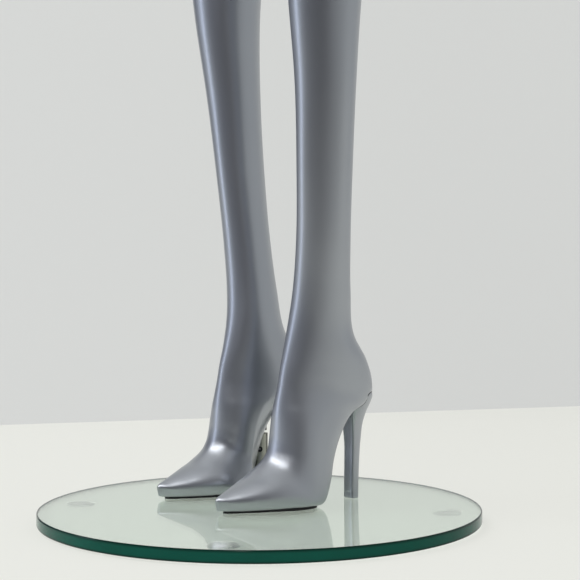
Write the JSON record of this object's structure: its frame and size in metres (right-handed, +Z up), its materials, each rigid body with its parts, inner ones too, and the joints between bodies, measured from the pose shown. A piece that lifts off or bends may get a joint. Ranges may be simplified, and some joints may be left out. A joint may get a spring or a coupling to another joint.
{
  "type": "full body mannequin",
  "caption": "Faceless full body female mannequin in moulded stiletto heels, held by a steel spigot on a round glass base; leg, torso, head, arms and hands twist off.",
  "frame": {"origin": "on the floor under the centre of the glass base", "axes": "+Z up; the figure faces -Y; the figure's own left is +X"},
  "size_m": [0.5246, 0.45, 1.9181],
  "materials": {
    "glass": "clear tempered float glass with a green edge",
    "clear_rubber": "clear bumper pads",
    "steel": "plain turned steel",
    "black_rubber": "matt black",
    "pearl_silver": "satin pearl silver-grey paint on fibreglass",
    "fitting_metal": "turned aluminium"
  },
  "bodies": {
    "base": {"glass_base": "glass", "base_pads": "clear_rubber", "base_bolt": "steel", "glass_bush": "steel", "flange_gasket": "black_rubber", "spigot_collar": "steel"},
    "clamp_screw": {"set_screw": "steel"},
    "spigot": {"spigot_rod": "steel"},
    "lower_body": {"pelvis_shell": "pearl_silver", "right_leg_shell": "pearl_silver", "right_thigh_sleeve": "steel", "foot_socket": "steel", "right_heel": "pearl_silver", "right_heel_tip": "black_rubber", "right_heel_dowel": "steel", "right_sole": "black_rubber", "pelvis_waist_plate": "fitting_metal", "pelvis_thigh_plate": "fitting_metal", "pelvis_screws": "steel"},
    "left_leg": {"left_leg_shell": "pearl_silver", "left_heel": "pearl_silver", "left_heel_tip": "black_rubber", "left_heel_dowel": "steel", "left_sole": "black_rubber", "left_thigh_plate": "fitting_metal", "left_leg_screws": "steel"},
    "torso": {"torso_shell": "pearl_silver", "torso_waist_plate": "fitting_metal", "torso_neck_plate": "fitting_metal", "left_shoulder_plate": "fitting_metal", "right_shoulder_plate": "fitting_metal", "torso_screws": "steel"},
    "head": {"head_shell": "pearl_silver", "head_neck_plate": "fitting_metal", "head_screws": "steel"},
    "left_arm": {"left_arm_shell": "pearl_silver", "left_arm_shoulder_plate": "fitting_metal", "left_arm_wrist_plate": "fitting_metal", "left_arm_screws": "steel"},
    "right_arm": {"right_arm_shell": "pearl_silver", "right_arm_shoulder_plate": "fitting_metal", "right_arm_wrist_plate": "fitting_metal", "right_arm_screws": "steel"},
    "left_hand": {"left_hand_shell": "pearl_silver", "left_hand_plate": "fitting_metal", "left_hand_screws": "steel"},
    "right_hand": {"right_hand_shell": "pearl_silver", "right_hand_plate": "fitting_metal", "right_hand_screws": "steel"}
  },
  "joints": [
    {"name": "clamp_screw_turn", "type": "hinge", "parent": "base", "child": "clamp_screw", "pos_m": [-0.105, 0.074, 0.0565], "axis": [0.8192, -0.5736, 0], "range_deg": [0, 720]},
    {"name": "spigot_lift", "type": "slide", "parent": "base", "child": "spigot", "axis": [0, 0, 1], "range_m": [0, 0.03]},
    {"name": "figure_lift_off", "type": "slide", "parent": "spigot", "child": "lower_body", "axis": [0, 0, 1], "range_m": [0, 0.1]},
    {"name": "left_leg_turn", "type": "hinge", "parent": "lower_body", "child": "left_leg", "pos_m": [0.049, 0.04, 0.944], "axis": [0, 0, 1], "range_deg": [0, 30]},
    {"name": "waist_turn", "type": "hinge", "parent": "lower_body", "child": "torso", "pos_m": [-0.038, 0.0225, 1.304], "axis": [0, 0, 1], "range_deg": [0, 30]},
    {"name": "head_turn", "type": "hinge", "parent": "torso", "child": "head", "pos_m": [-0.038, 0.03, 1.664], "axis": [0, 0, 1], "range_deg": [-45, 45]},
    {"name": "left_shoulder_swing", "type": "hinge", "parent": "torso", "child": "left_arm", "pos_m": [0.108, 0.034, 1.551], "axis": [-1, 0, 0], "range_deg": [0, 75]},
    {"name": "right_shoulder_swing", "type": "hinge", "parent": "torso", "child": "right_arm", "pos_m": [-0.184, 0.034, 1.551], "axis": [-1, 0, 0], "range_deg": [0, 75]},
    {"name": "left_wrist_turn", "type": "hinge", "parent": "left_arm", "child": "left_hand", "pos_m": [0.23045, 0.0185, 1.06008], "axis": [-0.1817, 0, 0.9834], "range_deg": [0, 90]},
    {"name": "right_wrist_turn", "type": "hinge", "parent": "right_arm", "child": "right_hand", "pos_m": [-0.23808, 0.0185, 1.04794], "axis": [-0.0454, 0, -0.999], "range_deg": [0, 90]}
  ]
}
